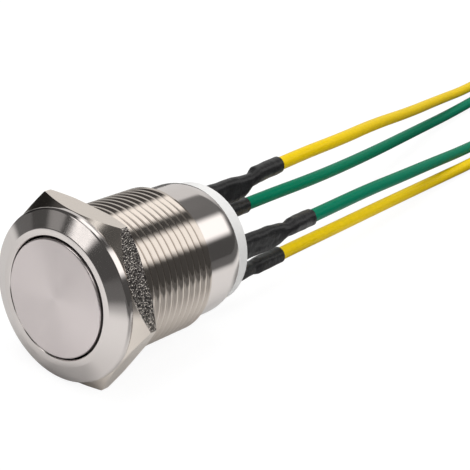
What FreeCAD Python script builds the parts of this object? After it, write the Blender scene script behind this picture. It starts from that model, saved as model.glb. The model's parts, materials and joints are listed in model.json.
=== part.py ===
"""Anti vandal push button: a metal panel button with a hex nut and four push-on leads.

Millimetres. The button's axis runs along +Y, from the face that is pressed to the leads.
The button lies on one flat of its nut, with the floor at z = 0. A depth s is measured
along the axis, from the flat face of the head rearwards.
"""
import FreeCAD, Part
import math
import os

V = FreeCAD.Vector

# Head
FACE_R = 9.9
HEAD_R = 12.5
HEAD_T = 2.0
RIM_ROUND = 0.5
RIM_S = 1.5
# Threaded barrel and plain rear shell
THREAD_R = 11.0
THREAD_L = 18.9
THREAD_CHAMFER = 0.5
SHELL_R = 10.22
SHELL_L = 7.4
SHELL_ROUND_L = 2.3
SHELL_ROUND_DROP = 0.46
# Bores of the housing
CAP_BORE_R = 8.85
WEB_FRONT = 9.0
WEB_T = 1.8
WEB_HOLE_R = 3.4
REAR_BORE_R = 9.0
# Push cap and its seal
CAP_GAP = 0.3
CAP_PROUD = 0.25
EDGE = 0.2
CAP_PLATE_T = 2.25
SKIRT_END = 5.0
SKIRT_WALL = 1.9
BOSS_R = 3.2
BOSS_END = 4.2
SEAL_D = 1.2
SEAL_S = 3.3
SEAL_GAP = 0.04
SEAL_GROOVE_W = 1.4
SEAL_SEAT_GAP = 0.05
TRAVEL = 2.5
# Plunger, its guide bush and its clip
PLUNGER_R = 2.0
SPIGOT_R = 1.5
SPIGOT_L = 3.0
RUNNING_GAP = 0.05
BUSH_FLANGE_R = 4.2
BUSH_FLANGE_T = 0.8
CLIP_R = 3.5
CLIP_T = 0.5
CLIP_RING_W = 1.0
CLIP_GROOVE_R = 1.5
CLIP_LOBE_W = 1.2
CLIP_MOUTH = 2.6
CLIP_LOBE_ANGLE = 100.0
# Return spring
SPRING_R = 4.9
SPRING_WIRE = 0.7
SPRING_TURNS = 3.0
SPRING_COIL_GAP = 0.03
SPRING_STEPS = 12
SPRING_END_GAP = 0.02
# Insulating case and rear base
CASE_GAP = 0.05
CASE_WALL = 1.0
CASE_FRONT_T = 1.2
CASE_HOLE_R = 3.9
BASE_PLUG_L = 2.8
BASE_R = 9.43
BASE_PROUD = 2.55
POCKET_D = 1.8
POCKET_GAP = 0.3
# Moving contacts and their carrier
CARRIER_R = 3.0
CARRIER_SET_BACK = 1.6
CARRIER_END_GAP = 1.2
BRIDGE_W = 2.6
BRIDGE_END_GAP = 0.6
BRIDGE_SLOT_GAP = 0.04
STRIP_T = 0.5
RIVET_R = 1.0
RIVET_H = 0.4
RIVET_INSET = 2.0
CONTACT_GAP = 0.05
# Terminals: two normally closed ones on one diameter, two normally open ones across it
NC_R = 7.5
NO_R = 6.7
NC_ANGLE = -11.0
NO_ANGLE = 81.0
NC_FOOT_SET_BACK = 3.4
FOOT_L = 3.0
TURNED_R = 6.4
BLADE_TURN = 1.5
BLADE_W = 2.8
BLADE_OUT = 6.5
BLADE_TAPER = 0.7
BLADE_HOLE_R = 0.6
BLADE_HOLE_INSET = 2.2
BLADE_GAP = 0.03
# Hex nut
NUT_AF = 25.0
NUT_T = 3.4
NUT_GAP = 0.05
NUT_FRONT_CUT = 2.06
NUT_FRONT_SLOPE = 37.0
NUT_BACK_CUT = 1.57
NUT_BACK_SLOPE = 27.0
NUT_LEAD_IN = 0.5
# Panel gasket, in a groove behind the head
GASKET_IN_R = 11.15
GASKET_OUT_R = 12.0
GASKET_T = 0.55
# Push-on receptacles
RECEPTACLE_W = 3.3
RECEPTACLE_H = 1.4
RECEPTACLE_ROUND = 0.55
RECEPTACLE_L = 8.0
RECEPTACLE_STAND_OFF = 0.35
LIP_SLIT = 0.7
NECK_W = 1.2
CRIMP_R = 0.75
CRIMP_L = 1.5
# Heat-shrink sleeves: a flat part over the receptacle, a neck and a round part on the lead
SLEEVE_W = 3.9
SLEEVE_H = 2.2
SLEEVE_STAND_OFF = 0.1
SLEEVE_WALL = 0.25
SLEEVE_SIDE_FLAT = 0.05
SLEEVE_FLAT_L = 10.65
SLEEVE_NECK_L = 1.5
SLEEVE_NECK_W = 2.3
SLEEVE_NECK_H = 2.2
SLEEVE_GAP = 0.025
# Leads
LEAD_D = 2.2
TIP_D = 0.9
TIP_L = 5.0
ARC_SHARE = 0.45
# Steps in a path that are shorter than this are left out
SHORTEST = 1e-4

THREAD_END = HEAD_T + THREAD_L
SHELL_END = THREAD_END + SHELL_L
BASE_FRONT = SHELL_END - BASE_PLUG_L
BASE_END = SHELL_END + BASE_PROUD
BLADE_TURN_S = BASE_FRONT + BLADE_TURN
SLEEVE_D = LEAD_D + 2 * (SLEEVE_GAP + SLEEVE_WALL)
AXIS_Z = NUT_AF / 2
MIDDLE = (BASE_END + BLADE_OUT - CAP_PROUD) / 2
WEB_BACK = WEB_FRONT + WEB_T
CAP_R = CAP_BORE_R - CAP_GAP
CASE_R = REAR_BORE_R - CASE_GAP
POCKET_R = CARRIER_R + POCKET_GAP
CARRIER_FRONT = WEB_BACK + CARRIER_SET_BACK
CARRIER_END = BASE_FRONT + POCKET_D - TRAVEL - CARRIER_END_GAP
NC_FOOT_S = CARRIER_FRONT + NC_FOOT_SET_BACK

# Each lead's route, from its crimp to where its stripped end begins
ROUTES = {
    "nc_1": [(-1.6, 28.05, 19.85), (-2.5, 39.5, 19.95), (-3.76, 54.5, 19.4), (-8.19, 72.5, 17.0),
             (-15.27, 98.0, 12.0), (-23.7, 126.0, 6.7), (-30.27, 153.0, 2.5), (-35.8, 179.0, 1.2),
             (-38.6, 205.0, 1.15)],
    "no_1": [(6.55, 28.05, 14.0), (5.38, 38.8, 13.4), (3.64, 54.0, 12.5), (0.65, 70.5, 10.1),
             (-4.25, 91.0, 6.3), (-8.36, 111.3, 3.0), (-11.17, 132.5, 1.4), (-14.51, 157.5, 1.15),
             (-17.9, 183.0, 1.15), (-21.0, 207.0, 1.15)],
    "nc_2": [(1.5, 28.05, 4.95), (0.75, 38.6, 4.7), (-0.01, 51.8, 4.4), (-1.41, 65.1, 3.6),
             (-3.15, 80.7, 2.5), (-4.68, 96.8, 1.6), (-5.68, 113.1, 1.15), (-7.5, 135.0, 1.15),
             (-9.96, 159.0, 1.15), (-12.4, 184.0, 1.15), (-13.5, 208.0, 1.15)],
    "no_2": [(-6.5, 28.05, 11.15), (-6.84, 39.0, 11.1), (-7.87, 52.8, 10.3), (-10.85, 68.5, 8.4),
             (-15.62, 89.4, 5.6), (-20.78, 113.1, 3.0), (-24.6, 136.4, 1.5), (-28.5, 163.0, 1.15),
             (-31.6, 188.0, 1.15), (-32.4, 210.0, 1.15)],
}
# Each terminal's radius from the axis and its angle from the top
TERMINALS = {
    "nc_1": (NC_R, NC_ANGLE),
    "no_1": (NO_R, NO_ANGLE),
    "nc_2": (NC_R, NC_ANGLE + 180),
    "no_2": (NO_R, NO_ANGLE + 180),
}
# The terminal whose blade is turned a quarter where it leaves the base
TURNED = "nc_1"
# How far each sleeve reaches along its lead
SLEEVE_REACH = {"nc_1": 5.2, "no_1": 4.9, "nc_2": 5.2, "no_2": 4.4}

LEAD_START = ROUTES["nc_1"][0][1] + MIDDLE
SLEEVE_FLAT_END = BASE_END + SLEEVE_FLAT_L
SLEEVE_ROUND_S = LEAD_START - CRIMP_L
SLEEVE_NECK_S = SLEEVE_ROUND_S - SLEEVE_NECK_L


def at(s, r):
    """The point at depth s and radius r, straight above the axis."""
    return V(0, s - MIDDLE, AXIS_Z + r)


def on_circle(s, r, radius, degrees):
    """The (s, r) of a circle's point, its angle counted from outwards to rearwards."""
    turn = math.radians(degrees)
    return s + radius * math.sin(turn), r + radius * math.cos(turn)


def turned(*path):
    """A solid of revolution. A step is (s, r), or (s, r, s, r) for an arc over the first point."""
    here = at(*path[0])
    edges = []
    for step in path[1:] + path[:1]:
        there = at(*step[-2:])
        if len(step) == 4:
            edges.append(Part.Arc(here, at(*step[:2]), there).toShape())
        else:
            edges.append(Part.makeLine(here, there))
        here = there
    face = Part.Face(Part.Wire(edges))
    return face.revolve(at(0, 0), V(0, 1, 0), 360)


def ring(inner, outer, s0, s1):
    """A plain ring round the axis."""
    return turned((s0, inner), (s0, outer), (s1, outer), (s1, inner))


def post(r, s0, s1, out=0.0):
    """A cylinder along the axis, moved out from it."""
    return Part.makeCylinder(r, s1 - s0, at(s0, out), V(0, 1, 0))


def bar(width, height, s0, s1, out=0.0):
    """A box along the axis: its width lies across, its height points outwards."""
    corner = V(-width / 2, s0 - MIDDLE, AXIS_Z + out - height / 2)
    return Part.makeBox(width, s1 - s0, height, corner)


def swung(shape, angle):
    """A shape made above the axis, turned about the axis."""
    return shape.rotated(at(0, 0), V(0, 1, 0), angle)


def on_blade(name, shape):
    """A shape made on the axis, moved onto the line of a terminal's blade."""
    radius, angle = TERMINALS[name]
    if name == TURNED:
        shape = swung(shape, 90)
        radius = TURNED_R
    return swung(shape.translated(V(0, 0, radius)), angle)


def rounded_path(points, share):
    """Straight runs joined by tangent arcs, each from a share of the shorter run at its knee."""
    edges, radii, here = [], [], points[0]
    for before, knee, after in zip(points, points[1:], points[2:]):
        back, ahead = before - knee, after - knee
        cut = share * min(back.Length, ahead.Length)
        arc_0 = knee + back.normalize() * cut
        arc_1 = knee + ahead.normalize() * cut
        half_turn = (math.pi - back.getAngle(ahead)) / 2
        radius = cut / math.tan(half_turn)
        towards = (back + ahead).normalize()
        over = knee + towards * (radius / math.cos(half_turn) - radius)
        if (arc_0 - here).Length > SHORTEST:
            edges.append(Part.makeLine(here, arc_0))
        edges.append(Part.Arc(arc_0, over, arc_1).toShape())
        radii.append(radius)
        here = arc_1
    edges.append(Part.makeLine(here, points[-1]))
    return Part.Wire(edges), radii


def housing():
    """Head, threaded barrel and rear shell, turned from one bar."""
    rim_r = HEAD_R - RIM_ROUND
    reach = math.hypot(RIM_S, rim_r - FACE_R)
    slope = math.degrees(math.atan2(rim_r - FACE_R, RIM_S) + math.asin(RIM_ROUND / reach))
    cone_end = on_circle(RIM_S, rim_r, RIM_ROUND, -slope)
    rim = on_circle(RIM_S, rim_r, RIM_ROUND, -slope / 2)
    bend_s = SHELL_END - SHELL_ROUND_L
    bend_r = (SHELL_ROUND_L ** 2 + SHELL_ROUND_DROP ** 2) / (2 * SHELL_ROUND_DROP)
    half_turn = math.degrees(math.asin(SHELL_ROUND_L / bend_r)) / 2
    bend = on_circle(bend_s, SHELL_R - bend_r, bend_r, half_turn)
    groove_s = HEAD_T - GASKET_T
    return turned(
        (0, CAP_BORE_R + EDGE), (0, FACE_R), cone_end, rim + (RIM_S, HEAD_R),
        (HEAD_T, HEAD_R), (HEAD_T, GASKET_OUT_R), (groove_s, GASKET_OUT_R),
        (groove_s, GASKET_IN_R), (HEAD_T, GASKET_IN_R), (HEAD_T, THREAD_R),
        (THREAD_END - THREAD_CHAMFER, THREAD_R), (THREAD_END, THREAD_R - THREAD_CHAMFER),
        (THREAD_END, SHELL_R), (bend_s, SHELL_R), bend + (SHELL_END, SHELL_R - SHELL_ROUND_DROP),
        (SHELL_END, REAR_BORE_R), (WEB_BACK, REAR_BORE_R), (WEB_BACK, WEB_HOLE_R),
        (WEB_FRONT, WEB_HOLE_R), (WEB_FRONT, CAP_BORE_R), (EDGE, CAP_BORE_R))


def panel_gasket():
    return ring(GASKET_IN_R, GASKET_OUT_R, HEAD_T - GASKET_T, HEAD_T)


def hex_nut():
    """A hexagon with both faces chamfered by cones, and a lead-in at each end of its bore."""
    front, back = HEAD_T, HEAD_T + NUT_T
    corner_r = NUT_AF / 2 / math.cos(math.radians(30))
    corners = [swung(Part.Vertex(at(front, corner_r)), 30 + 60 * k).Point for k in range(7)]
    prism = Part.Face(Part.makePolygon(corners)).extrude(V(0, NUT_T, 0))
    front_edge = front + NUT_FRONT_CUT * math.tan(math.radians(NUT_FRONT_SLOPE))
    back_edge = back - NUT_BACK_CUT * math.tan(math.radians(NUT_BACK_SLOPE))
    cones = turned((front, 0), (front, corner_r - NUT_FRONT_CUT), (front_edge, corner_r),
                   (back_edge, corner_r), (back, corner_r - NUT_BACK_CUT), (back, 0))
    bore_r = THREAD_R + NUT_GAP
    wide_r = bore_r + NUT_LEAD_IN
    bore = turned((front, 0), (front, wide_r), (front + NUT_LEAD_IN, bore_r),
                  (back - NUT_LEAD_IN, bore_r), (back, wide_r), (back, 0))
    return prism.common(cones).cut(bore)


def push_cap():
    """A cup with a seal groove round its skirt and a boss for the plunger."""
    front, plate_end = -CAP_PROUD, CAP_PLATE_T - CAP_PROUD
    edge = on_circle(front + EDGE, CAP_R - EDGE, EDGE, -45)
    groove_r = CAP_BORE_R - SEAL_GAP - SEAL_D - SEAL_SEAT_GAP
    groove_0, groove_1 = SEAL_S - SEAL_GROOVE_W / 2, SEAL_S + SEAL_GROOVE_W / 2
    skirt_r = CAP_R - SKIRT_WALL
    hole_end = BOSS_END - SPIGOT_L
    return turned(
        (front, 0), (front, CAP_R - EDGE), edge + (front + EDGE, CAP_R), (groove_0, CAP_R),
        (groove_0, groove_r), (groove_1, groove_r), (groove_1, CAP_R), (SKIRT_END, CAP_R),
        (SKIRT_END, skirt_r), (plate_end, skirt_r), (plate_end, BOSS_R), (BOSS_END, BOSS_R),
        (BOSS_END, SPIGOT_R), (hole_end, SPIGOT_R), (hole_end, 0))


def cap_seal():
    seal_r = CAP_BORE_R - SEAL_GAP - SEAL_D / 2
    return Part.makeTorus(seal_r, SEAL_D / 2, at(SEAL_S, 0), V(0, 1, 0))


def plunger():
    """A rod with a spigot at each end and a groove for its clip."""
    clip_0 = WEB_BACK + RUNNING_GAP
    return turned(
        (BOSS_END - SPIGOT_L, 0), (BOSS_END - SPIGOT_L, SPIGOT_R), (BOSS_END, SPIGOT_R),
        (BOSS_END, PLUNGER_R), (clip_0, PLUNGER_R), (clip_0, CLIP_GROOVE_R),
        (clip_0 + CLIP_T, CLIP_GROOVE_R), (clip_0 + CLIP_T, PLUNGER_R), (CARRIER_FRONT, PLUNGER_R),
        (CARRIER_FRONT, SPIGOT_R), (CARRIER_FRONT + SPIGOT_L, SPIGOT_R),
        (CARRIER_FRONT + SPIGOT_L, 0))


def guide_bush():
    """A flanged bush in the web, which the plunger runs in."""
    bore_r = PLUNGER_R + RUNNING_GAP
    front = WEB_FRONT - BUSH_FLANGE_T
    return turned((front, bore_r), (front, BUSH_FLANGE_R), (WEB_FRONT, BUSH_FLANGE_R),
                  (WEB_FRONT, WEB_HOLE_R), (WEB_BACK, WEB_HOLE_R), (WEB_BACK, bore_r))


def retaining_clip():
    """An E clip: an open ring with three lobes that reach into the plunger's groove."""
    s0 = WEB_BACK + RUNNING_GAP
    s1 = s0 + CLIP_T
    clip = ring(CLIP_R - CLIP_RING_W, CLIP_R, s0, s1)
    clip = clip.cut(bar(CLIP_MOUTH, CLIP_R, s0, s1, -CLIP_R))
    lobe_h = CLIP_R - CLIP_RING_W / 2
    lobe = bar(CLIP_LOBE_W, lobe_h, s0, s1, lobe_h / 2)
    for angle in (0, CLIP_LOBE_ANGLE, -CLIP_LOBE_ANGLE):
        clip = clip.fuse(swung(lobe, angle))
    return clip.cut(post(CLIP_GROOVE_R, s0, s1)).removeSplitter()


def return_spring():
    """A coil spring round the bush, from the web to the cap, with a closed turn at each end."""
    front = CAP_PLATE_T - CAP_PROUD
    start = front + SPRING_END_GAP + SPRING_WIRE / 2
    rise = WEB_FRONT - front - SPRING_WIRE - 2 * SPRING_END_GAP
    closed = SPRING_WIRE + SPRING_COIL_GAP
    open_pitch = (rise - 2 * closed) / SPRING_TURNS
    knee_r = SPRING_R / math.cos(math.pi / SPRING_STEPS)
    points = []
    for k in range(int((SPRING_TURNS + 2) * SPRING_STEPS) + 1):
        turns = k / SPRING_STEPS
        opened = min(max(turns - 1, 0), SPRING_TURNS)
        s = start + (turns - opened) * closed + opened * open_pitch
        points.append(swung(Part.Vertex(at(s, knee_r)), 360 * turns).Point)
    path, _ = rounded_path(points, 0.5)
    section = Part.Wire(Part.makeCircle(SPRING_WIRE / 2, points[0], points[1] - points[0]))
    return path.makePipeShell([section], True, False)


def inner_case():
    """The insulating cup that closes the contacts off from the housing."""
    inner_r = CASE_R - CASE_WALL
    wall_end = WEB_BACK + CASE_FRONT_T
    return turned((WEB_BACK, CASE_HOLE_R), (WEB_BACK, CASE_R), (BASE_FRONT, CASE_R),
                  (BASE_FRONT, inner_r), (wall_end, inner_r), (wall_end, CASE_HOLE_R))


def rear_base():
    """The plug of the rear end: it holds the four blades and clears the carrier."""
    pocket_end = BASE_FRONT + POCKET_D
    edge = on_circle(BASE_END - EDGE, BASE_R - EDGE, EDGE, 45)
    base = turned(
        (BASE_FRONT, POCKET_R), (BASE_FRONT, CASE_R), (SHELL_END, CASE_R), (SHELL_END, BASE_R),
        (BASE_END - EDGE, BASE_R), edge + (BASE_END, BASE_R - EDGE), (BASE_END, 0),
        (pocket_end, 0), (pocket_end, POCKET_R))
    slot_w, slot_t = BLADE_W + 2 * BLADE_GAP, STRIP_T + 2 * BLADE_GAP
    for name, (radius, angle) in TERMINALS.items():
        base = base.cut(swung(bar(slot_w, slot_t, BASE_FRONT, BLADE_TURN_S + BLADE_GAP, radius), angle))
        outside = bar(slot_w, slot_t, BLADE_TURN_S - STRIP_T - BLADE_GAP, BASE_END)
        base = base.cut(on_blade(name, outside))
    return base


def foot_start(name):
    """The depth at which a terminal's foot begins."""
    return NC_FOOT_S if name.startswith("nc") else BASE_FRONT - STRIP_T


def rivet_start(name):
    """The depth at which the rivet on a terminal's foot begins: behind it, or before it."""
    foot_s = foot_start(name)
    return foot_s + STRIP_T if name.startswith("nc") else foot_s - RIVET_H


def terminal(name):
    """A strip bent inwards at its front end to a foot with a rivet, and a blade outside the base."""
    radius, angle = TERMINALS[name]
    foot_s, rivet_s = foot_start(name), rivet_start(name)
    strip = bar(BLADE_W, STRIP_T, foot_s, BLADE_TURN_S, radius)
    foot = bar(BLADE_W, FOOT_L, foot_s, foot_s + STRIP_T, radius + STRIP_T / 2 - FOOT_L / 2)
    rivet = post(RIVET_R, rivet_s, rivet_s + RIVET_H, radius - RIVET_INSET)
    inside = swung(strip.fuse([foot, rivet]), angle)
    return inside.fuse(on_blade(name, blade())).removeSplitter()


def blade():
    """The outer part of a terminal, made on the axis, with a tapered tip and a locking hole."""
    tip_s = BASE_END + BLADE_OUT
    shape = bar(BLADE_W, STRIP_T, BLADE_TURN_S - STRIP_T, tip_s)
    for side in (-1, 1):
        corner = [V(side * BLADE_W / 2, tip_s - MIDDLE, 0),
                  V(side * (BLADE_W / 2 - BLADE_TAPER), tip_s - MIDDLE, 0),
                  V(side * BLADE_W / 2, tip_s - MIDDLE - BLADE_TAPER, 0)]
        wedge = Part.Face(Part.makePolygon(corner + corner[:1])).extrude(V(0, 0, STRIP_T))
        shape = shape.cut(wedge.translated(V(0, 0, AXIS_Z - STRIP_T / 2)))
    hole_at = at(tip_s - BLADE_HOLE_INSET, -STRIP_T / 2)
    return shape.cut(Part.makeCylinder(BLADE_HOLE_R, STRIP_T, hole_at, V(0, 0, 1)))


def bridge_depths(name):
    """Where a bridge's bar and its rivets begin, with the cap at rest."""
    if name.startswith("nc"):
        rivets = rivet_start(name) + RIVET_H + CONTACT_GAP
        return rivets + RIVET_H, rivets
    rivets = rivet_start(name) - CONTACT_GAP - TRAVEL - RIVET_H
    return rivets - STRIP_T, rivets


def bridge(name):
    """A moving contact: a bar from one terminal to the other, with a rivet at each end."""
    radius, angle = TERMINALS[name]
    bar_s, rivet_s = bridge_depths(name)
    half = radius - STRIP_T / 2 - BRIDGE_END_GAP
    contact = bar(BRIDGE_W, 2 * half, bar_s, bar_s + STRIP_T)
    for side in (-1, 1):
        rivet = post(RIVET_R, rivet_s, rivet_s + RIVET_H, side * (radius - RIVET_INSET))
        contact = contact.fuse(rivet)
    return swung(contact.removeSplitter(), angle)


def contact_carrier():
    """The insulator on the plunger's end, with a slot through it for each bridge."""
    carrier = post(CARRIER_R, CARRIER_FRONT, CARRIER_END)
    carrier = carrier.cut(post(SPIGOT_R, CARRIER_FRONT, CARRIER_FRONT + SPIGOT_L))
    for name in ("nc_1", "no_1"):
        bar_s = bridge_depths(name)[0]
        slot = bar(BRIDGE_W + 2 * BRIDGE_SLOT_GAP, 3 * CARRIER_R, bar_s - BRIDGE_SLOT_GAP,
                   bar_s + STRIP_T + BRIDGE_SLOT_GAP)
        carrier = carrier.cut(swung(slot, TERMINALS[name][1]))
    return carrier


def lead_line(name):
    """Where a lead's insulation begins, and the direction in which it leaves its crimp."""
    first, second = (V(*point) for point in ROUTES[name][:2])
    return first, second - first


def receptacle(name):
    """A folded female receptacle: a box with rolled lips, a bent neck and a closed crimp."""
    s0 = BASE_END + RECEPTACLE_STAND_OFF
    s1 = s0 + RECEPTACLE_L
    box = bar(RECEPTACLE_W, RECEPTACLE_H, s0, s1)
    along = [edge for edge in box.Edges if abs(edge.tangentAt(0).y) > 0.99]
    box = box.makeFillet(RECEPTACLE_ROUND, along)
    hollow = bar(BLADE_W + 2 * BLADE_GAP, STRIP_T + 2 * BLADE_GAP, s0, s1)
    slit = bar(LIP_SLIT, RECEPTACLE_H / 2, s0, s1, RECEPTACLE_H / 4)
    neck_h = (RECEPTACLE_H + STRIP_T) / 2
    neck = bar(NECK_W, neck_h, s1, SLEEVE_FLAT_END, (neck_h - RECEPTACLE_H) / 2)
    front = on_blade(name, box.cut(hollow).cut(slit).fuse(neck))
    first, ahead = lead_line(name)
    crimp_0 = first - ahead * (CRIMP_L / ahead.y)
    crimp = Part.makeCylinder(CRIMP_R, CRIMP_L + CRIMP_R, crimp_0, ahead)
    bend_0 = on_blade(name, section(NECK_W, neck_h, SLEEVE_FLAT_END, (neck_h - RECEPTACLE_H) / 2))
    bend_1 = on_blade(name, section(NECK_W, neck_h, SLEEVE_ROUND_S, 0))
    bend_1 = bend_1.translated(crimp_0 - bend_1.BoundBox.Center)
    bend = Part.makeLoft([bend_0, bend_1], True, True)
    shape = front.fuse([bend, crimp]).removeSplitter()
    return shape.cut(Part.makeCylinder(LEAD_D / 2, 2 * CRIMP_R, first, ahead))


def section(width, height, s, out):
    """A rectangle across the axis."""
    y = s - MIDDLE
    corners = [V(sx * width / 2, y, AXIS_Z + out + sz * height / 2)
               for sx, sz in ((-1, -1), (1, -1), (1, 1), (-1, 1))]
    return Part.makePolygon(corners + corners[:1])


def sleeve_centre(name, s):
    """The middle of a sleeve: on the blade's line, then over to the lead's line."""
    first, ahead = lead_line(name)
    on_lead = first + ahead * ((s - LEAD_START) / ahead.y)
    on_line = on_blade(name, Part.Vertex(at(s, 0))).Point
    share = (s - SLEEVE_FLAT_END) / (SLEEVE_ROUND_S - SLEEVE_FLAT_END)
    share = min(max(share, 0), 1)
    return on_line * (1 - share) + on_lead * share


def oval(name, s, width, height):
    """A sleeve's section: a rectangle with large corners, its width in the blade's plane."""
    centre = sleeve_centre(name, s)
    base_point = on_blade(name, Part.Vertex(at(s, 0))).Point
    out = on_blade(name, Part.Vertex(at(s, 1))).Point - base_point
    across = V(0, 1, 0).cross(out)
    corner = min(width, height) / 2 - SLEEVE_SIDE_FLAT
    x, z = width / 2 - corner, height / 2 - corner
    slant = corner * math.sqrt(0.5)
    edges = []
    here = centre + across * x + out * (height / 2)
    for sx, sz in ((1, 1), (1, -1), (-1, -1), (-1, 1)):
        knee = centre + across * (sx * x) + out * (sz * z)
        over = knee + across * (sx * slant) + out * (sz * slant)
        if sx == sz:
            arc_0 = knee + out * (sz * corner)
            arc_1 = knee + across * (sx * corner)
        else:
            arc_0 = knee + across * (sx * corner)
            arc_1 = knee + out * (sz * corner)
        if (arc_0 - here).Length > SHORTEST:
            edges.append(Part.makeLine(here, arc_0))
        edges.append(Part.Arc(arc_0, over, arc_1).toShape())
        here = arc_1
    edges.append(Part.makeLine(here, edges[0].Vertexes[0].Point))
    return Part.Wire(edges)


def sleeve(name):
    """A heat-shrink sleeve, drawn down to a neck behind the receptacle."""
    sections = [(BASE_END + SLEEVE_STAND_OFF, SLEEVE_W, SLEEVE_H), (SLEEVE_FLAT_END, SLEEVE_W, SLEEVE_H),
                (SLEEVE_NECK_S, SLEEVE_NECK_W, SLEEVE_NECK_H), (SLEEVE_ROUND_S, SLEEVE_D, SLEEVE_D),
                (LEAD_START + SLEEVE_REACH[name], SLEEVE_D, SLEEVE_D)]
    wall = 2 * SLEEVE_WALL
    outside = [oval(name, s, w, h) for s, w, h in sections]
    inside = [oval(name, s, w - wall, h - wall) for s, w, h in sections]
    return Part.makeLoft(outside, True, True).cut(Part.makeLoft(inside, True, True))


def lead(name):
    """A lead's insulation, on its route."""
    points = [V(*point) for point in ROUTES[name]]
    path, radii = rounded_path(points, ARC_SHARE)
    section = Part.Wire(Part.makeCircle(LEAD_D / 2, points[0], points[1] - points[0]))
    tube = path.makePipeShell([section], True, False)
    expected = math.pi * (LEAD_D / 2) ** 2 * path.Length
    print(f"lead_{name}: length {path.Length:.1f}, smallest radius {min(radii):.0f}, "
          f"volume {tube.Volume:.1f} of {expected:.1f}, radii {[round(r) for r in radii]}")
    return tube


def tip(name):
    """A lead's stripped and tinned end."""
    before, end = (V(*point) for point in ROUTES[name][-2:])
    return Part.makeCylinder(TIP_D / 2, TIP_L, end, end - before)


def main():
    shapes = {
        "housing": housing(),
        "panel_gasket": panel_gasket(),
        "hex_nut": hex_nut(),
        "push_cap": push_cap(),
        "cap_seal": cap_seal(),
        "plunger": plunger(),
        "guide_bush": guide_bush(),
        "retaining_clip": retaining_clip(),
        "return_spring": return_spring(),
        "inner_case": inner_case(),
        "rear_base": rear_base(),
        "contact_carrier": contact_carrier(),
        "bridge_nc": bridge("nc_1"),
        "bridge_no": bridge("no_1"),
    }
    for name in TERMINALS:
        shapes["terminal_" + name] = terminal(name)
        shapes["receptacle_" + name] = receptacle(name)
        shapes["sleeve_" + name] = sleeve(name)
        shapes["lead_" + name] = lead(name)
        shapes["tip_" + name] = tip(name)
    os.makedirs("parts", exist_ok=True)
    for name, shape in shapes.items():
        solids = shape.Solids
        if len(solids) != 1 or not shape.isValid():
            print(f"{name}: {len(solids)} solids, valid {shape.isValid()}")
        shape.exportStep(f"parts/{name}.step")


main()
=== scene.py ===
"""The looks of a metal push button with a hex nut and four push-on leads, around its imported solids.

Metres. The button's axis runs along +Y at the height AXIS_Z. A depth s is measured along
it, from the flat face of the head, and an angle round it from the top towards +X.
"""
import bmesh
import bpy
import json
import math
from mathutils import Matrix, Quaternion, Vector, noise


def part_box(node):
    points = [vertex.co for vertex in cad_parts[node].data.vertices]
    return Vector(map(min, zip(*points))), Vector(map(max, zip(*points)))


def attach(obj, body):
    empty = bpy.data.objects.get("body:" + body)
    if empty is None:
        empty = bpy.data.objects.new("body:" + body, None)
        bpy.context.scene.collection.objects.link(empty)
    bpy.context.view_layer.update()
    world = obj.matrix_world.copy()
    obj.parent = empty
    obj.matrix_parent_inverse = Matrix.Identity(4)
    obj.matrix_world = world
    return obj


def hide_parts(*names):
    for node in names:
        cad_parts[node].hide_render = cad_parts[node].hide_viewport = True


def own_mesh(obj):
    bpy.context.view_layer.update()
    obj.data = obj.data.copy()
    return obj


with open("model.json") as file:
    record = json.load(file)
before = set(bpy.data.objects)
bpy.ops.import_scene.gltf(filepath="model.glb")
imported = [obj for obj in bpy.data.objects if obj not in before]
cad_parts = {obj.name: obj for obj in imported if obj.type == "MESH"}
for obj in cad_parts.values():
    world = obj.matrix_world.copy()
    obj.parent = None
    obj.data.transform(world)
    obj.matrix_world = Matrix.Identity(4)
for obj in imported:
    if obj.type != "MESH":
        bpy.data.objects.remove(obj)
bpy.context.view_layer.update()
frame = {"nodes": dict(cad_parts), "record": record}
scene = bpy.context.scene

# Places read from the frame
HEAD_LOW, HEAD_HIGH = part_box("housing")
NUT_LOW, NUT_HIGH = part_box("hex_nut")
FACE_Y = HEAD_LOW.y
AXIS_Z = (HEAD_LOW.z + HEAD_HIGH.z) / 2
HEAD_R = (HEAD_HIGH.x - HEAD_LOW.x) / 2
SHELL_END = HEAD_HIGH.y - FACE_Y
NUT_FRONT = NUT_LOW.y - FACE_Y
NUT_BACK = NUT_HIGH.y - FACE_Y
NUT_HALF = (NUT_HIGH.z - NUT_LOW.z) / 2

# Camera: the place, the way it looks and its roll
CAMERA_AT = (0.11517, -0.14488, 0.10298)
CAMERA_FORWARD = (-0.51830, 0.74888, -0.41297)
CAMERA_ROLL = math.radians(9.12)
CAMERA_LENS = 107.77

# Head and barrel
FACE_R = 0.0099
CAP_BORE_R = 0.00885
RIM_ROUND = 0.0005
RIM_S = 0.0015
CONE_START_S = 0.00002
HEAD_T = 0.0020
GROOVE_S = 0.00145
GROOVE_IN_R = 0.01115
GROOVE_OUT_R = 0.0120
THREAD_R = 0.0110
THREAD_START = 0.0028
THREAD_END = 0.0209
THREAD_CHAMFER = 0.0005
THREAD_PITCH = 0.00125
THREAD_DEPTH = 0.00038
THREAD_ROOT_POWER = 0.65
THREAD_FADE = 0.0011
RELIEF_R = 0.0103
SHELL_R = 0.01022
SHELL_ROUND_S = 0.0260
SHELL_STEP = 0.0010
SHELL_END_R = 0.00976
REAR_BORE_R = 0.0090
WEB_FRONT = 0.0090
WEB_BACK = 0.0108
WEB_HOLE_R = 0.0034
EDGE = 0.0001

# Hex nut. HALF_SIDE is half the angle that one of its sides takes up
HALF_SIDE = math.radians(30)
NUT_BORE_R = 0.01105
NUT_LEAD_IN = 0.0005
NUT_FRONT_CUT = 0.00206
NUT_FRONT_SLOPE = math.radians(37)
NUT_BACK_CUT = 0.00157
NUT_BACK_SLOPE = math.radians(27)
NUT_CORNER_ROUND = 0.00025
PITTED_FLAT = math.radians(60)

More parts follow.
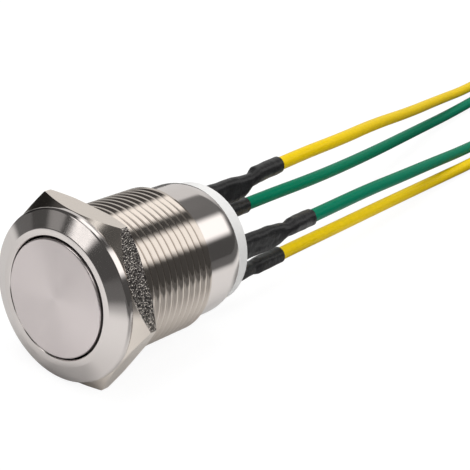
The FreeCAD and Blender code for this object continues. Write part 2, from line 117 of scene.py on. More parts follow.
# Return spring. On the button it shortens as the cap is pressed; here it is built at one length
SPRING_R = 0.0049
SPRING_WIRE = 0.0007
SPRING_TURNS = 3.0
SPRING_CLOSED_PITCH = 0.00073

# Sleeves: a flat part over the receptacle, a neck and a round part on the lead
SLEEVE_START = 0.03095
SLEEVE_TAPER_S = 0.0394
SLEEVE_FLAT_END = 0.0415
SLEEVE_NECK_S = 0.0436
SLEEVE_ROUND_S = 0.0451
SLEEVE_FLAT = (0.0039, 0.0022)
SLEEVE_TAPERED = (0.0034, 0.0021)
SLEEVE_NECK = (0.0023, 0.0022)
SLEEVE_ROUND = (0.00275, 0.00275)
SLEEVE_WALL = 0.00025
SLEEVE_SIDE_FLAT = 0.00005
LEAD_START = 0.0466
# Their uneven skin: lumps all over, creases that are strongest round the neck, and rims that are
# worn back and ragged
LUMP_SIZE = 0.0026
LUMP_RELIEF = 0.00008
CREASE_SIZE = (0.0011, 0.0022, 0.0011)
CREASE_RELIEF = 0.00006
NECK_CREASE_RELIEF = 0.00007
NECK_REACH = 0.0022
RIM_WEAR = 0.00006
RAGGED_RELIEF = 0.00009
RAGGED_FROM = 0.0075
RAGGED_GRAIN = (4, 500)
# Each sleeve: the blade's distance from the axis, its angle, the way its wide side faces, and
# how far it reaches along the lead
SLEEVES = {
    "nc_1": (0.0064, -11, 79, 0.0052),
    "no_1": (0.0067, 81, 81, 0.0049),
    "nc_2": (0.0075, 169, 169, 0.0052),
    "no_2": (0.0067, 261, 261, 0.0044),
}

# Leads and their stripped tips. A length runs from the crimp to the stripped end, and a route is
# the control points of the lead's curve
LEAD_D = 0.0022
TIP_D = 0.0009
TIP_L = 0.0050
TIP_STRANDS = 7
TIP_TWIST = 1.6
TIP_GROOVE = 0.16
TIP_END_L = 0.0004
TIP_END_SHRINK = 0.25
ROUTES = {
    "nc_1": [(-0.0016, 0.02805, 0.01985), (-0.0025, 0.0395, 0.01995), (-0.00376, 0.0545, 0.0194),
             (-0.00819, 0.0725, 0.0170), (-0.01527, 0.0980, 0.0120), (-0.0237, 0.1260, 0.0067),
             (-0.03027, 0.1530, 0.0025), (-0.0358, 0.1790, 0.0012), (-0.0386, 0.2050, 0.00115)],
    "no_1": [(0.00655, 0.02805, 0.0140), (0.00538, 0.0388, 0.0134), (0.00364, 0.0540, 0.0125),
             (0.00065, 0.0705, 0.0101), (-0.00425, 0.0910, 0.0063), (-0.00836, 0.1113, 0.0030),
             (-0.01117, 0.1325, 0.0014), (-0.01451, 0.1575, 0.00115), (-0.0179, 0.1830, 0.00115),
             (-0.0210, 0.2070, 0.00115)],
    "nc_2": [(0.0015, 0.02805, 0.00495), (0.00075, 0.0386, 0.0047), (-0.00001, 0.0518, 0.0044),
             (-0.00141, 0.0651, 0.0036), (-0.00315, 0.0807, 0.0025), (-0.00468, 0.0968, 0.0016),
             (-0.00568, 0.1131, 0.00115), (-0.0075, 0.1350, 0.00115), (-0.00996, 0.1590, 0.00115),
             (-0.0124, 0.1840, 0.00115), (-0.0135, 0.2080, 0.00115)],
    "no_2": [(-0.0065, 0.02805, 0.01115), (-0.00684, 0.0390, 0.0111), (-0.00787, 0.0528, 0.0103),
             (-0.01085, 0.0685, 0.0084), (-0.01562, 0.0894, 0.0056), (-0.02078, 0.1131, 0.0030),
             (-0.0246, 0.1364, 0.0015), (-0.0285, 0.1630, 0.00115), (-0.0316, 0.1880, 0.00115),
             (-0.0324, 0.2100, 0.00115)],
}


def smooth(x, low, high):
    """0 below low, 1 above high, and smooth in between."""
    t = min(max((x - low) / (high - low), 0.0), 1.0)
    return t * t * (3 - 2 * t)


def around(s, r, angle):
    """The point at depth s, at the radius r from the axis and at an angle round it."""
    return Vector((r * math.sin(angle), FACE_Y + s, AXIS_Z + r * math.cos(angle)))


def arc(s, r, radius, start, end, steps):
    """(s, r) points on a circle. Angles run from outwards (0) to rearwards (90 degrees)."""
    turns = [math.radians(start + (end - start) * k / steps) for k in range(steps + 1)]
    return [(s + radius * math.sin(t), r + radius * math.cos(t)) for t in turns]


def new_piece(name, mesh, body, slot, sharp):
    """A shown object from a mesh, smooth but for its sharp edges, that rides on a body."""
    mesh.materials.append(materials[slot])
    for polygon in mesh.polygons:
        polygon.use_smooth = True
    mesh.set_sharp_from_angle(angle=math.radians(sharp))
    piece = bpy.data.objects.new(name, mesh)
    scene.collection.objects.link(piece)
    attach(piece, body)
    return piece


def grid_mesh(name, rows, close_across=True, close_along=True):
    """A mesh from rows of points. Each row is a ring, and the rows may close into a loop too."""
    build = bmesh.new()
    made = [[build.verts.new(p) for p in row] for row in rows]
    row_count, column_count = len(rows), len(rows[0])
    for i in range(row_count if close_along else row_count - 1):
        for j in range(column_count if close_across else column_count - 1):
            here, there = made[i], made[(i + 1) % row_count]
            after = (j + 1) % column_count
            build.faces.new((here[j], here[after], there[after], there[j]))
    bmesh.ops.remove_doubles(build, verts=build.verts, dist=2e-7)
    bmesh.ops.dissolve_degenerate(build, edges=build.edges, dist=1e-7)
    bmesh.ops.recalc_face_normals(build, faces=build.faces)
    mesh = bpy.data.meshes.new(name)
    build.to_mesh(mesh)
    build.free()
    return mesh


# Camera

def make_camera():
    """The camera, at the angle that the button is looked at from."""
    camera = bpy.data.objects.new("camera", bpy.data.cameras.new("camera"))
    scene.collection.objects.link(camera)
    forward = Vector(CAMERA_FORWARD)
    camera.location = CAMERA_AT
    camera.rotation_mode = "QUATERNION"
    camera.rotation_quaternion = (forward.to_track_quat("-Z", "Y")
                                  @ Quaternion((0, 0, 1), CAMERA_ROLL))
    camera.data.lens = CAMERA_LENS
    camera.data.clip_start = 0.005
    camera.data.clip_end = 20
    scene.camera = camera


# Shader helpers

class Shader:
    """Adds nodes to an emptied tree. Inputs are given by name or place, as a value or a socket."""

    def __init__(self, tree):
        self.tree = tree
        tree.nodes.clear()

    def add(self, kind, settings=None, **inputs):
        """A node of a kind, with its settings. Inputs i0, i1 and so on are given by place."""
        node = self.tree.nodes.new("ShaderNode" + kind)
        for name, value in (settings or {}).items():
            setattr(node, name, value)
        for name, value in inputs.items():
            key = int(name[1:]) if name[0] == "i" and name[1:].isdigit() else name.replace("_", " ")
            self.put(node.inputs[key], value)
        return node

    def put(self, socket, value):
        """Sets an input, or links it where the value is another node's output."""
        if isinstance(value, bpy.types.NodeSocket):
            self.tree.links.new(value, socket)
        else:
            socket.default_value = value

    def math(self, operation, *values):
        """The result of one step of arithmetic."""
        node = self.add("Math", {"operation": operation})
        for socket, value in zip(node.inputs, values):
            self.put(socket, value)
        return node.outputs[0]

    def ramp(self, value, low, high, to_low=0.0, to_high=1.0):
        """to_low up to low, to_high from high on, and smooth in between."""
        node = self.add("MapRange", {"interpolation_type": "SMOOTHSTEP"}, i0=value, i1=low, i2=high,
                        i3=to_low, i4=to_high)
        return node.outputs[0]

    def band(self, value, low, high, soft):
        """1 between low and high and 0 outside, with soft edges."""
        rise = self.ramp(value, low - soft, low + soft)
        fall = self.ramp(value, high - soft, high + soft, 1.0, 0.0)
        return self.math("MULTIPLY", rise, fall)

    def mix_colour(self, factor, a, b):
        """Colour a where the factor is 0 and colour b where it is 1."""
        node = self.add("Mix", {"data_type": "RGBA"})
        self.put(node.inputs[0], factor)
        self.put(node.inputs[6], a)
        self.put(node.inputs[7], b)
        return node.outputs[2]


def rgb(r, g, b):
    """An opaque colour."""
    return (r, g, b, 1.0)


# Studio

WHITE = rgb(1, 1, 1)
STUDIO_TINT = rgb(1.0, 0.985, 0.97)
DARK_WALL = 0.085
# Each panel: the angle round the Y axis, the reach along Y, the softness of both and the strength
PANELS = [
    ((-112, -31), (0.40, 0.95), (4.0, 0.10), 0.72),
    ((-30, 14), (0.50, 0.95), (4.0, 0.06), 0.11),
    ((-65.5, -60.0), (-0.93, -0.75), (1.5, 0.015), 1.9),
    ((-58.0, -51.0), (-0.94, -0.75), (2.5, 0.015), 1.8),
    ((-81, -71), (-0.75, -0.58), (1.0, 0.02), 0.26),
    ((-93, -66), (-0.38, 0.10), (3.0, 0.05), -0.07),
    ((-34, -19), (-0.79, -0.71), (4.0, 0.03), 1.50),
]
# Panels that run beside the barrel, whose edges are straight as its thread mirrors them. Their
# angles are measured from the (x, z) point LEAN
LEAN = (-0.518, -0.413)
LONG_PANELS = [
    ((3.5, 23.5), (-0.62, 0.64), (3.0, 0.06), 1.50),
    ((35, 53.7), (-0.76, 0.93), (3.5, 0.08), 1.45),
    ((76.5, 110), (-0.62, 0.50), (2.0, 0.06), 0.55),
]
# The table as the metal mirrors it: a painted pool of light round a middle, falling off to painted
# darkness between two distances
PAINTED_POOL_MIDDLE = (-0.014, -0.003, 0.0)
PAINTED_POOL_FULL = 0.065
PAINTED_POOL_END = 0.112
PAINTED_POOL_BRIGHT = 0.785
PAINTED_POOL_DARK = 0.13
# Painted shade on it, where the metal mirrors dark places under and beside the button: each one's
# middle, radius and remaining brightness, which is even up to the share of the radius given next
PAINTED_FLOOR_SHADE_CORE = 0.4
PAINTED_FLOOR_SHADE_PLACES = [
    ((0.055, -0.012, 0.0), 0.045, 0.50),
    ((-0.050, -0.018, 0.0), 0.050, 0.80),
    ((0.030, -0.080, 0.0), 0.035, 0.60),
    ((0.0025, -0.0188, 0.0), 0.0065, 0.73),
    ((0.006, 0.037, 0.0), 0.018, 0.45),
]
# The table as it is seen: mostly white of its own, with a share of matte white for shadows
TABLE_HALF = 3.0
TABLE_GLOW = 1.06
TABLE_MATTE = rgb(0.9, 0.9, 0.9)
TABLE_MATTE_SHARE = 0.15
# Lamps: each one's name, place, aim, size and power
LAMPS = [
    ("overhead", (-0.15, 0.05, 0.9), (0, 0.03, 0), 0.9, 4.0),
    ("front_left", (-0.7, -0.8, 0.55), (0, 0.03, 0.01), 0.6, 2.0),
    ("right", (0.9, 0.1, 0.5), (0, 0.03, 0.01), 0.6, 2.0),
]


def make_world():
    """A dark studio with soft panels, and plain white where the camera looks past the object."""
    world = bpy.data.worlds.new("studio")
    scene.world = world
    world.use_nodes = True
    s = Shader(world.node_tree)
    x, y, z = s.add("SeparateXYZ", i0=s.add("TexCoord").outputs["Generated"]).outputs
    angle = s.math("DEGREES", s.math("ARCTAN2", x, z))
    leaning = s.math("DEGREES", s.math("ARCTAN2", s.math("SUBTRACT", x, LEAN[0]),
                                       s.math("SUBTRACT", z, LEAN[1])))
    light = DARK_WALL
    for measured, panels in ((angle, PANELS), (leaning, LONG_PANELS)):
        for (low, high), (back, front), (soft_angle, soft_y), strength in panels:
            across = s.band(measured, low, high, soft_angle)
            along = s.band(y, back, front, soft_y)
            panel = s.math("MULTIPLY", s.math("MULTIPLY", across, along), strength)
            light = s.math("ADD", light, panel)
    studio = s.add("Background", Color=STUDIO_TINT, Strength=light)
    white = s.add("Background", Color=WHITE, Strength=1.0)
    seen = s.add("LightPath").outputs["Is Camera Ray"]
    mix = s.add("MixShader", i0=seen, i1=studio.outputs[0], i2=white.outputs[0])
    s.put(s.add("OutputWorld").inputs["Surface"], mix.outputs[0])


def area_light(name, place, aim, size, power):
    """A large soft lamp that lights matte surfaces and is not mirrored in the metal."""
    data = bpy.data.lights.new(name, "AREA")
    data.shape = "SQUARE"
    data.size = size
    data.energy = power
    lamp = bpy.data.objects.new(name, data)
    scene.collection.objects.link(lamp)
    lamp.location = place
    lamp.rotation_mode = "QUATERNION"
    lamp.rotation_quaternion = (Vector(aim) - Vector(place)).to_track_quat("-Z", "Y")
    lamp.visible_glossy = False


def make_floor():
    """A pale table: plain white to the camera, and to all other rays a painted pool of light round
    the object, with painted shade in places and painted darkness far off.
    """
    mesh = bpy.data.meshes.new("floor")
    half = TABLE_HALF
    mesh.from_pydata([(-half, -half, 0), (half, -half, 0), (half, half, 0), (-half, half, 0)],
                     [], [(0, 1, 2, 3)])
    floor = bpy.data.objects.new("floor", mesh)
    scene.collection.objects.link(floor)
    material = bpy.data.materials.new("floor_white")
    material.use_nodes = True
    s = Shader(material.node_tree)
    place = s.add("TexCoord").outputs["Object"]
    reach = s.add("VectorMath", {"operation": "DISTANCE"}, i0=place, i1=PAINTED_POOL_MIDDLE).outputs["Value"]
    # Painted pool of light, fading to painted darkness far off; the camera never sees it
    pool = s.ramp(reach, PAINTED_POOL_FULL, PAINTED_POOL_END, PAINTED_POOL_BRIGHT, PAINTED_POOL_DARK)
    # Painted shade in places on the table
    for middle, radius, share in PAINTED_FLOOR_SHADE_PLACES:
        away = s.add("VectorMath", {"operation": "DISTANCE"}, i0=place, i1=middle).outputs["Value"]
        pool = s.math("MULTIPLY", pool, s.ramp(away, PAINTED_FLOOR_SHADE_CORE * radius, radius, share, 1.0))
    grey = s.add("CombineColor", Red=pool, Green=pool, Blue=pool).outputs[0]
    mirrored = s.add("BsdfDiffuse", Color=grey)
    matte = s.add("BsdfDiffuse", Color=TABLE_MATTE)
    glow = s.add("Emission", Color=WHITE, Strength=TABLE_GLOW)
    white = s.add("MixShader", i0=TABLE_MATTE_SHARE, i1=glow.outputs[0], i2=matte.outputs[0])
    seen = s.add("LightPath").outputs["Is Camera Ray"]
    mix = s.add("MixShader", i0=seen, i1=mirrored.outputs[0], i2=white.outputs[0])
    s.put(s.add("OutputMaterial").inputs["Surface"], mix.outputs[0])
    mesh.materials.append(material)


# Materials

METAL = rgb(0.69, 0.65, 0.63)
THREAD_METAL = rgb(0.57, 0.515, 0.465)
SATIN_METAL = rgb(0.685, 0.63, 0.625)
NUT_METAL = rgb(0.745, 0.685, 0.625)
# A lathe's marks, and how far the roughness varies in clouds
MARK_GRAIN = 3500.0
MARK_RELIEF = 0.00001
CLOUD_GRAIN = 260.0
CLOUD_SPREAD = 0.03
# The nut's side with pits: where it begins and is whole, as depths under the flat, and the painted
# shade over it, a painted dark reflection which fades on the way down to the height of the axis
PITTED_METAL = rgb(0.56, 0.52, 0.48)
PIT_COLOUR = rgb(0.16, 0.15, 0.145)
PIT_GRAIN = 3600.0
SPECK_GRAIN = 3800.0
PIT_RELIEF = 0.00005
PITTED_FROM = 0.00012
PITTED_WHOLE = 0.00006
PAINTED_NUT_SHADE_FADE = 0.0035
PAINTED_NUT_SHADE_LEFT = 0.25
# The softness of the thread's warmer colour at its ends
WARM_EDGE = 0.00005


def principled(name, colour, metallic, roughness, **more):
    """A material with its shader and node helper, ready for more nodes."""
    material = bpy.data.materials.new(name)
    material.use_nodes = True
    s = Shader(material.node_tree)
    body = s.add("BsdfPrincipled", Base_Color=colour, Metallic=metallic, Roughness=roughness, **more)
    s.put(s.add("OutputMaterial").inputs["Surface"], body.outputs[0])
    return material, s, body


def turned_place(s):
    """(radius, y, 0): a texture in it runs round the axis, as a lathe's marks do."""
    x, y, z = s.add("SeparateXYZ", i0=s.add("TexCoord").outputs["Object"]).outputs
    across = s.add("CombineXYZ", i0=x, i2=s.math("SUBTRACT", z, AXIS_Z))
    radius = s.add("VectorMath", {"operation": "LENGTH"}, i0=across.outputs[0]).outputs["Value"]
    return s.add("CombineXYZ", i0=radius, i1=y).outputs[0]


def noise_value(s, place, scale, detail=2.0, roughness=0.5):
    """Cloudy noise from 0 to 1."""
    return s.add("TexNoise", Vector=place, Scale=scale, Detail=detail, Roughness=roughness).outputs[0]


def turned_metal(name, colour, roughness, anisotropy, marks):
    """Metal from a lathe: fine marks round the axis, and a sheen drawn out across them.

    Like principled, it returns the material, its node helper and its shader.
    """
    material, s, body = principled(name, colour, 1.0, roughness, Anisotropic=anisotropy,
                                   Anisotropic_Rotation=0.25)
    lines = noise_value(s, turned_place(s), MARK_GRAIN, roughness=0.6)
    clouds = noise_value(s, s.add("TexCoord").outputs["Object"], CLOUD_GRAIN)
    cloudy = s.ramp(clouds, 0.0, 1.0, -CLOUD_SPREAD, CLOUD_SPREAD)
    s.put(body.inputs["Roughness"], s.math("ADD", cloudy, roughness))
    bump = s.add("Bump", Strength=marks, Distance=MARK_RELIEF, Height=lines)
    s.put(body.inputs["Normal"], bump.outputs[0])
    tangent = s.add("Tangent", {"direction_type": "RADIAL", "axis": "Y"})
    s.put(body.inputs["Tangent"], tangent.outputs[0])
    return material, s, body


def plain(name, colour, metallic, roughness, grain=3000.0, strength=0.1, depth=0.12,
          relief=0.00003, **more):
    """A simple finish with a fine grain in its colour and surface."""
    material, s, body = principled(name, colour, metallic, roughness, **more)
    place = s.add("TexCoord").outputs["Object"]
    spots = noise_value(s, place, grain)
    darker = tuple((1 - depth) * c for c in colour[:3]) + (1.0,)
    s.put(body.inputs["Base Color"], s.mix_colour(s.ramp(spots, 0.35, 0.65), darker, colour))
    bump = s.add("Bump", Strength=strength, Distance=relief, Height=spots)
    s.put(body.inputs["Normal"], bump.outputs[0])
    return material


def nut_finish():
    """Machined metal whose one side, on the right, has pits all over, under a painted shade that
    fades downwards.
    """
    material, s, body = turned_metal("nut_metal", NUT_METAL, roughness=0.17,
                                     anisotropy=0.3, marks=0.10)
    place = s.add("TexCoord").outputs["Object"]
    x, _, z = s.add("SeparateXYZ", i0=place).outputs
    out = s.math("ADD", s.math("MULTIPLY", x, math.sin(PITTED_FLAT)),
                 s.math("MULTIPLY", s.math("SUBTRACT", z, AXIS_Z), math.cos(PITTED_FLAT)))
    here = s.ramp(out, NUT_HALF - PITTED_FROM, NUT_HALF - PITTED_WHOLE)
    pits = s.add("TexVoronoi", {"feature": "F1"}, Vector=place, Scale=PIT_GRAIN).outputs["Distance"]
    grains = noise_value(s, place, SPECK_GRAIN, detail=3.0, roughness=0.7)
    height = s.math("MULTIPLY", s.math("ADD", s.ramp(pits, 0.15, 0.6), grains), here)
    bump = s.add("Bump", Strength=0.6, Distance=PIT_RELIEF, Height=height)
    s.put(bump.inputs["Normal"], body.inputs["Normal"].links[0].from_socket)
    s.put(body.inputs["Normal"], bump.outputs[0])
    # Painted shade: the pits and their darker metal are real, but they show in full only above the
    # axis and fade to a quarter at its height, as a painted dark reflection
    painted_nut_shade = s.ramp(z, AXIS_Z, AXIS_Z + PAINTED_NUT_SHADE_FADE, PAINTED_NUT_SHADE_LEFT, 1.0)
    pits_and_painted_shade = s.math("MULTIPLY", here, painted_nut_shade)
    dark = s.math("MULTIPLY", s.ramp(grains, 0.46, 0.57, 1.0, 0.0), pits_and_painted_shade)
    bare = s.mix_colour(pits_and_painted_shade, NUT_METAL, PITTED_METAL)
    s.put(body.inputs["Base Color"], s.mix_colour(dark, bare, PIT_COLOUR))
    return material


def housing_finish():
    """Polished metal, a little warmer on the thread."""
    material, s, body = turned_metal("polished_metal", METAL, roughness=0.11,
                                     anisotropy=0.5, marks=0.10)
    _, y, _ = s.add("SeparateXYZ", i0=s.add("TexCoord").outputs["Object"]).outputs
    threaded = s.band(y, FACE_Y + HEAD_T, FACE_Y + THREAD_END, WARM_EDGE)
    s.put(body.inputs["Base Color"], s.mix_colour(threaded, METAL, THREAD_METAL))
    return material


def satin_finish():
    """Brushed metal whose marks are too fine to show."""
    material, _, _ = turned_metal("satin_metal", SATIN_METAL, roughness=0.30,
                                  anisotropy=0.85, marks=0.0)
    return material


# Each plain finish has its name, its colour, how metallic it is and its roughness
materials = {
    "polished_metal": housing_finish(),
    "nut_metal": nut_finish(),
    "satin_metal": satin_finish(),
    "black_rubber": plain("black_rubber", rgb(0.025, 0.025, 0.025), 0.0, 0.7),
    "plain_steel": plain("plain_steel", rgb(0.56, 0.56, 0.57), 1.0, 0.3),
    "bush_brass": plain("bush_brass", rgb(0.72, 0.52, 0.22), 1.0, 0.3),
    "black_plastic": plain("black_plastic", rgb(0.03, 0.03, 0.032), 0.0, 0.5),
    "white_plastic": plain("white_plastic", rgb(0.74, 0.74, 0.735), 0.0, 0.5, grain=2500.0,
                           strength=0.05, depth=0.03),
    "carrier_plastic": plain("carrier_plastic", rgb(0.72, 0.68, 0.55), 0.0, 0.5),
    "contact_brass": plain("contact_brass", rgb(0.75, 0.58, 0.28), 1.0, 0.3),
    "tinned_brass": plain("tinned_brass", rgb(0.68, 0.66, 0.62), 1.0, 0.35),
    "shrink_black": plain("shrink_black", rgb(0.010, 0.010, 0.011), 0.0, 0.40, grain=1000.0,
                          strength=0.8, depth=0.3, relief=0.00015, Specular_IOR_Level=0.34),
    "lead_yellow": plain("lead_yellow", rgb(0.78, 0.55, 0.0), 0.0, 0.40, grain=1200.0,
                         strength=0.05, depth=0.05, Specular_IOR_Level=0.12),
    "lead_green": plain("lead_green", rgb(0.0, 0.168, 0.090), 0.0, 0.40, grain=1200.0,
                        strength=0.05, depth=0.05, Specular_IOR_Level=0.05),
    "tinned_copper": plain("tinned_copper", rgb(0.72, 0.70, 0.67), 1.0, 0.3),
}


# Housing

def thread_radius(s, angle):
    """The barrel's radius: a helical thread with round crests, which fades into a plain ring."""
    phase = ((s - THREAD_PITCH * angle / math.tau) / THREAD_PITCH) % 1.0
    root = 1 - math.sin(math.pi / 2 * abs(2 * phase - 1)) ** THREAD_ROOT_POWER
    fade = 1 - smooth(s, THREAD_END - THREAD_FADE, THREAD_END - THREAD_CHAMFER)
    r = THREAD_R - THREAD_DEPTH * root * fade
    lead_in = max(0.0, (THREAD_START + THREAD_CHAMFER) - s)
    lead_out = max(0.0, s - (THREAD_END - THREAD_CHAMFER))
    return min(r, THREAD_R - lead_in, THREAD_R - lead_out)


def head_profile():
    """(s, r) points from the cap's bore over the face and the rim to the back of the head."""
    rim_r = HEAD_R - RIM_ROUND
    reach = math.hypot(RIM_S, rim_r - FACE_R)
    slope = math.degrees(math.atan2(rim_r - FACE_R, RIM_S) + math.asin(RIM_ROUND / reach))
    rim = arc(RIM_S, rim_r, RIM_ROUND, -slope, 0, 10)
    cone_s, cone_r = rim[0]
    # A ring next to each end of the cone keeps its shading straight
    cone = [(CONE_START_S + (cone_s - CONE_START_S) * k, FACE_R + (cone_r - FACE_R) * k)
            for k in (0.0, 0.03, 0.97)]
    face = [(EDGE, CAP_BORE_R), (0, CAP_BORE_R + EDGE), (0, FACE_R - EDGE)]
    back = [(HEAD_T - EDGE, HEAD_R), (HEAD_T, HEAD_R - EDGE), (HEAD_T, GROOVE_OUT_R),
            (GROOVE_S, GROOVE_OUT_R), (GROOVE_S, GROOVE_IN_R), (HEAD_T, GROOVE_IN_R),
            (HEAD_T, RELIEF_R)]
    return face + cone + rim + back


def rear_profile():
    """(s, r) points from the end of the thread over the rear shell and back in to the web."""
    drop, length = SHELL_R - SHELL_END_R, SHELL_END - SHELL_ROUND_S
    bend_r = (length ** 2 + drop ** 2) / (2 * drop)
    bend = math.degrees(math.asin(length / bend_r))
    shell = [(THREAD_END, SHELL_R), (SHELL_ROUND_S - SHELL_STEP, SHELL_R)]
    shell += arc(SHELL_ROUND_S, SHELL_R - bend_r, bend_r, 0, bend, 8)
    inside = [(SHELL_END, SHELL_END_R - EDGE), (SHELL_END, REAR_BORE_R), (WEB_BACK, REAR_BORE_R),
              (WEB_BACK, WEB_HOLE_R), (WEB_FRONT, WEB_HOLE_R), (WEB_FRONT, CAP_BORE_R)]
    return shell + inside


def thread_rows(angles, per_pitch=14):
    """Rows that climb with the helix, so that the mesh's edges follow the thread."""
    turns = math.ceil((THREAD_END - THREAD_START) / THREAD_PITCH) + 1
    rows = []
    for k in range(turns * per_pitch + 1):
        start = THREAD_START + THREAD_PITCH * (k / per_pitch - 1)
        row = []
        for a in angles:
            s = min(max(start + THREAD_PITCH * a / math.tau, THREAD_START), THREAD_END)
            row.append(around(s, thread_radius(s, a), a))
        rows.append(row)
    return rows


def make_housing():
    """Head, threaded barrel and rear shell, with the bores inside."""
    columns = 216
    angles = [math.tau * j / columns for j in range(columns + 1)]
    front = [[around(s, r, a) for a in angles] for s, r in head_profile()]
    back = [[around(s, r, a) for a in angles] for s, r in rear_profile()]
    mesh = grid_mesh("housing_turned", front + thread_rows(angles) + back, close_across=False)
    piece = new_piece("housing_turned", mesh, "body", "polished_metal", sharp=20)
    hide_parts("housing")


# Hex nut

def nut_wall(off):
    """The distance of a hexagon's side from its axis, at an angle off the middle of the side."""
    corner = HALF_SIDE - abs(off)
    centre = (NUT_HALF - NUT_CORNER_ROUND) / math.cos(HALF_SIDE)
    rounded_to = math.atan2(NUT_CORNER_ROUND * math.sin(HALF_SIDE),
                            centre + NUT_CORNER_ROUND * math.cos(HALF_SIDE))
    if corner > rounded_to:
        return NUT_HALF / math.cos(off)
    inside = NUT_CORNER_ROUND ** 2 - (centre * math.sin(corner)) ** 2
    return centre * math.cos(corner) + math.sqrt(max(inside, 0.0))


def nut_profile(turn, across=12):
    """(s, r) points from the bore's front edge over the side to its back edge, at one angle."""
    corner_r = NUT_HALF / math.cos(HALF_SIDE)
    wall = nut_wall((turn + HALF_SIDE) % (2 * HALF_SIDE) - HALF_SIDE)
    front_r = min(corner_r - NUT_FRONT_CUT, wall)
    back_r = min(corner_r - NUT_BACK_CUT, wall)
    front_s = NUT_FRONT + (wall - front_r) * math.tan(NUT_FRONT_SLOPE)
    back_s = NUT_BACK - (wall - back_r) * math.tan(NUT_BACK_SLOPE)
    front = [(NUT_FRONT + NUT_LEAD_IN, NUT_BORE_R), (NUT_FRONT, NUT_BORE_R + NUT_LEAD_IN),
             (NUT_FRONT, front_r)]
    side = [(front_s + (back_s - front_s) * k / across, wall) for k in range(across + 1)]
    back = [(NUT_BACK, back_r), (NUT_BACK, NUT_BORE_R + NUT_LEAD_IN),
            (NUT_BACK - NUT_LEAD_IN, NUT_BORE_R)]
    return front + side + back


def make_nut():
    """A hexagon with rounded corners and conical chamfers on both faces."""
    per_side = 60
    turns = [math.radians(60 * j / per_side) for j in range(6 * per_side)]
    columns = [[around(s, r, turn) for s, r in nut_profile(turn)] for turn in turns]
    mesh = grid_mesh("nut_body", list(zip(*columns)))
    piece = new_piece("nut_body", mesh, "nut", "nut_metal", sharp=15)
    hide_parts("hex_nut")


# Return spring

def make_spring():
    """A coil with a closed turn at each end, over the length of the imported spring."""
    low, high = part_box("return_spring")
    start = low.y - FACE_Y + SPRING_WIRE / 2
    rise = high.y - low.y - SPRING_WIRE
    open_pitch = (rise - 2 * SPRING_CLOSED_PITCH) / SPRING_TURNS
    steps, columns = 36, 14
    last = int((SPRING_TURNS + 2) * steps)
    rows = []
    for k in range(last + 1):
        turns = k / steps
        opened = min(max(turns - 1, 0.0), SPRING_TURNS)
        s = start + (turns - opened) * SPRING_CLOSED_PITCH + opened * open_pitch
        angle = math.tau * turns
        row = []
        for j in range(columns):
            turn = math.tau * j / columns
            row.append(around(s + SPRING_WIRE / 2 * math.sin(turn),
                              SPRING_R + SPRING_WIRE / 2 * math.cos(turn), angle))
        rows.append(row)
        if k in (0, last):
            rows.insert(0 if k == 0 else len(rows), [around(s, SPRING_R, angle)] * columns)
    mesh = grid_mesh("spring_coil", rows, close_along=False)
    piece = new_piece("spring_coil", mesh, "body", "plain_steel", sharp=50)
    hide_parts("return_spring")
    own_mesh(piece)


# Leads, sleeves and tips

def sleeve_line(name, s):
    """The middle of a sleeve: on the blade's line, then over to the lead's line."""
    radius, angle, _, _ = SLEEVES[name]
    first, second = (Vector(point) for point in ROUTES[name][:2])
    ahead = second - first
    on_lead = first + ahead * ((s - LEAD_START) / ahead.y)
    on_blade = around(s, radius, math.radians(angle))
    share = (s - SLEEVE_FLAT_END) / (SLEEVE_ROUND_S - SLEEVE_FLAT_END)
    return on_blade.lerp(on_lead, min(max(share, 0.0), 1.0))


def sleeve_size(s):
    """A sleeve's width and height at a depth."""
    stations = [(SLEEVE_START, SLEEVE_FLAT), (SLEEVE_TAPER_S, SLEEVE_FLAT),
                (SLEEVE_FLAT_END, SLEEVE_TAPERED),
                (SLEEVE_NECK_S, SLEEVE_NECK), (SLEEVE_ROUND_S, SLEEVE_ROUND), (1.0, SLEEVE_ROUND)]
    for (s0, size0), (s1, size1) in zip(stations, stations[1:]):
        if s <= s1:
            share = max(s - s0, 0.0) / (s1 - s0)
            return [a + (b - a) * share for a, b in zip(size0, size1)]


def outline(width, height):
    """Points round a rectangle with large corners, each with its way outwards, as (across, out)."""
    corner = min(width, height) / 2 - SLEEVE_SIDE_FLAT
    x, z = width / 2 - corner, height / 2 - corner
    steps = []
    for quarter, (sx, sz) in enumerate(((1, 1), (1, -1), (-1, -1), (-1, 1))):
        steps += [(sx * x, sz * z, 90 * (quarter + k / 8)) for k in range(8)]
        if quarter % 2 == 1:
            steps += [(sx * x * (1 - k / 4), sz * z, 90 * (quarter + 1)) for k in range(8)]
    points = []
    for cx, cz, turn in steps:
        nx, nz = math.sin(math.radians(turn)), math.cos(math.radians(turn))
        points.append((cx + corner * nx, cz + corner * nz, nx, nz))
    return points


def shrunk(name, place, s):
    """How far a sleeve's outside lies from its plain form: lumps, and creases round its neck."""
    seed = Vector((7.0 * len(name), 11.0 * SLEEVES[name][1], 3.0))
    lumps = noise.noise(place / LUMP_SIZE + seed)
    creases = noise.noise(Vector([a / size for a, size in zip(place, CREASE_SIZE)]) + seed)
    near_neck = math.exp(-((s - SLEEVE_NECK_S) / NECK_REACH) ** 2)
    return LUMP_RELIEF * lumps + (CREASE_RELIEF + NECK_CREASE_RELIEF * near_neck) * creases


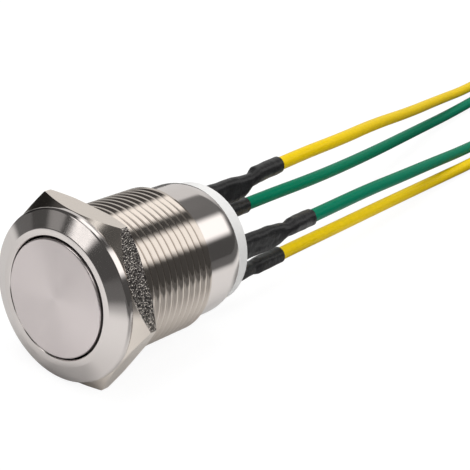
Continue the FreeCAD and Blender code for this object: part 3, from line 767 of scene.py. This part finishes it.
def sleeve_ring(name, s, end, inside, worn):
    """One ring of a sleeve, on its outside or inside. Towards both ends it gets ragged."""
    facing = math.radians(SLEEVES[name][2])
    out = Vector((math.sin(facing), 0, math.cos(facing)))
    across = Vector((out.z, 0, -out.x))
    wall = 2 * SLEEVE_WALL if inside else 0.0
    width, height = sleeve_size(s)
    middle = sleeve_line(name, s)
    ends = smooth(abs(s - (SLEEVE_START + end) / 2), RAGGED_FROM, (end - SLEEVE_START) / 2)
    round_grain, long_grain = RAGGED_GRAIN
    ring = []
    for px, pz, nx, nz in outline(width - wall, height - wall):
        point = middle + across * px + out * pz
        off = -worn if inside or worn else shrunk(name, point, s)
        grain = Vector((round_grain * nx, round_grain * nz, s * long_grain))
        ragged = RAGGED_RELIEF * ends * noise.noise(grain)
        ring.append(point + (across * nx + out * nz) * off + Vector((0, ragged, 0)))
    return ring


def make_sleeve(name):
    """A heat-shrink sleeve: an uneven skin with a smooth wall inside and worn rims."""
    end = LEAD_START + SLEEVES[name][3]
    steps = 72
    depths = [SLEEVE_START + (end - SLEEVE_START) * k / steps for k in range(steps + 1)]
    rows = [sleeve_ring(name, SLEEVE_START, end, False, RIM_WEAR)]
    rows += [sleeve_ring(name, s, end, False, 0.0) for s in depths]
    rows += [sleeve_ring(name, end, end, False, RIM_WEAR)]
    rows += [sleeve_ring(name, s, end, True, 0.0) for s in reversed(depths)]
    mesh = grid_mesh("sleeve_skin_" + name, rows)
    piece = new_piece("sleeve_skin_" + name, mesh, "body", "shrink_black", sharp=50)
    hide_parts("sleeve_" + name)
    return piece


def make_tip(name):
    """A stripped end: a ring of strands laid in a long twist, run together by the tin."""
    before, start = (Vector(point) for point in ROUTES[name][-2:])
    ahead = (start - before).normalized()
    side = ahead.cross(Vector((0, 0, 1))).normalized()
    up = side.cross(ahead)
    rows = []
    steps, columns = 40, 56
    for k in range(steps + 1):
        along = TIP_L * k / steps
        shrink = 1 - TIP_END_SHRINK * smooth(along, TIP_L - TIP_END_L, TIP_L)
        row = []
        for j in range(columns):
            turn = math.tau * j / columns
            lobe = abs(math.cos(TIP_STRANDS / 2 * (turn - TIP_TWIST * along / TIP_L)))
            r = TIP_D / 2 * (1 - TIP_GROOVE + TIP_GROOVE * lobe) * shrink
            row.append(start + ahead * along + (side * math.cos(turn) + up * math.sin(turn)) * r)
        rows.append(row)
    rows.insert(0, [start.copy() for _ in range(columns)])
    rows.append([start + ahead * TIP_L for _ in range(columns)])
    mesh = grid_mesh("strands_" + name, rows, close_along=False)
    piece = new_piece("strands_" + name, mesh, "body", "tinned_copper", sharp=60)
    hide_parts("tip_" + name)
    return piece


def make_lead(name):
    """A lead on its route: one smooth curve of round section."""
    curve = bpy.data.curves.new("cord_" + name, "CURVE")
    curve.dimensions = "3D"
    curve.bevel_depth = LEAD_D / 2
    curve.bevel_resolution = 6
    curve.resolution_u = 12
    curve.use_fill_caps = True
    spline = curve.splines.new("NURBS")
    points = ROUTES[name]
    spline.points.add(len(points) - 1)
    for point, place in zip(spline.points, points):
        point.co = (*place, 1.0)
    spline.order_u = 3
    spline.use_endpoint_u = True
    slot = "lead_yellow" if name.startswith("nc") else "lead_green"
    curve.materials.append(materials[slot])
    piece = bpy.data.objects.new("cord_" + name, curve)
    scene.collection.objects.link(piece)
    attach(piece, "body")
    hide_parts("lead_" + name)
    going = [frame["nodes"]["receptacle_" + name], make_tip(name), make_sleeve(name)]


def dress_nodes():
    """Gives every carried-over solid the finish of its slot."""
    for row in frame["record"]["subparts"]:
        node = frame["nodes"][row["node"]]
        node.data.materials.clear()
        node.data.materials.append(materials[row["material_slot"]])


dress_nodes()
make_housing()
make_nut()
make_spring()
for lead_name in ROUTES:
    make_lead(lead_name)
make_camera()
make_world()
for lamp_settings in LAMPS:
    area_light(*lamp_settings)
make_floor()
scene.view_settings.view_transform = "Standard"
